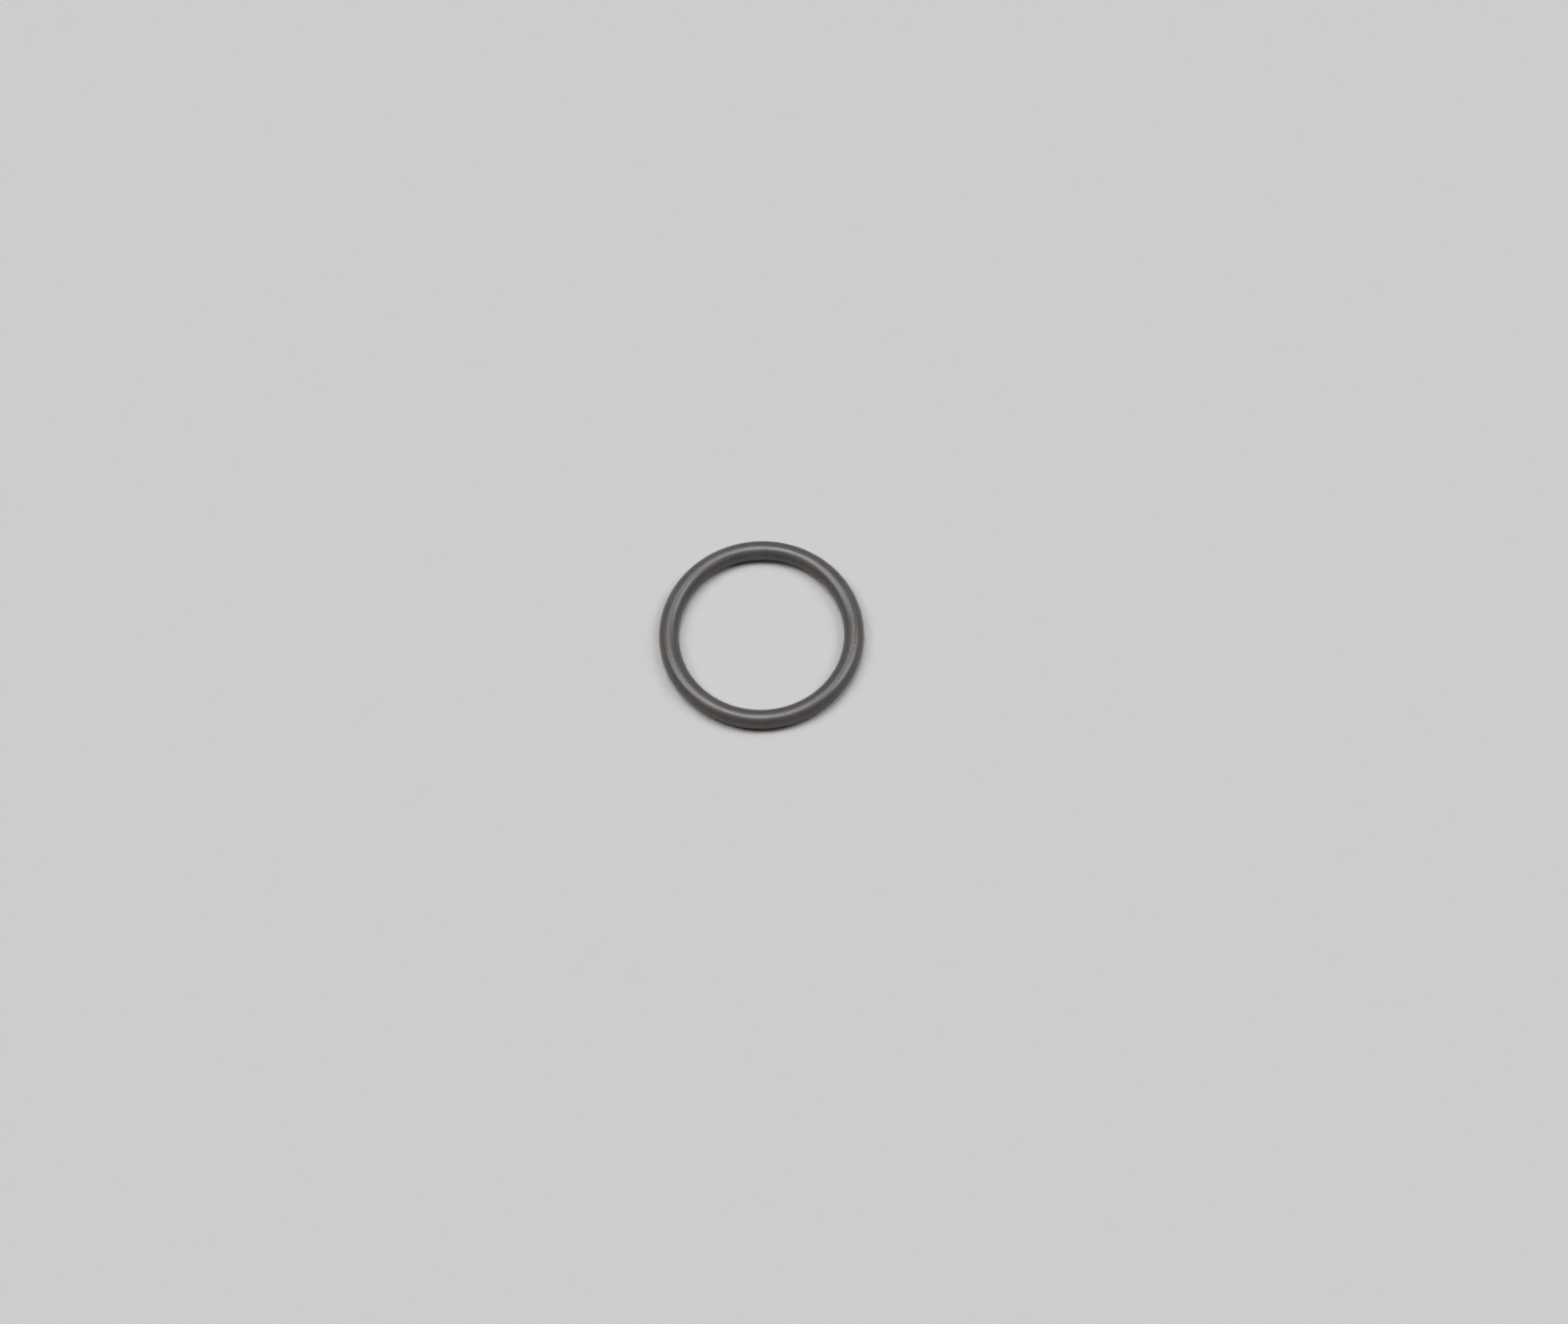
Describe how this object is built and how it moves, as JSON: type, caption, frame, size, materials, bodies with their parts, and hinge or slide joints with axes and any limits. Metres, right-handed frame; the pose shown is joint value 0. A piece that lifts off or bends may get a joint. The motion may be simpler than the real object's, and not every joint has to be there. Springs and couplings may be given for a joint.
{
  "type": "rubber o-ring",
  "caption": "Flexible rubber sealing ring of round section, with a fine trimmed mould line round its inner and outer walls.",
  "frame": {"origin": "centre of the ring, at half its thickness, on the plane where the mould parts", "axes": "+Z along the ring's axis, so the ring lies flat in XY as it comes to rest; the ring is the same all round"},
  "size_m": [0.0192, 0.0192, 0.0018],
  "materials": {
    "rubber": "satin"
  },
  "bodies": {
    "root": {"o_ring": "rubber"}
  },
  "joints": []
}
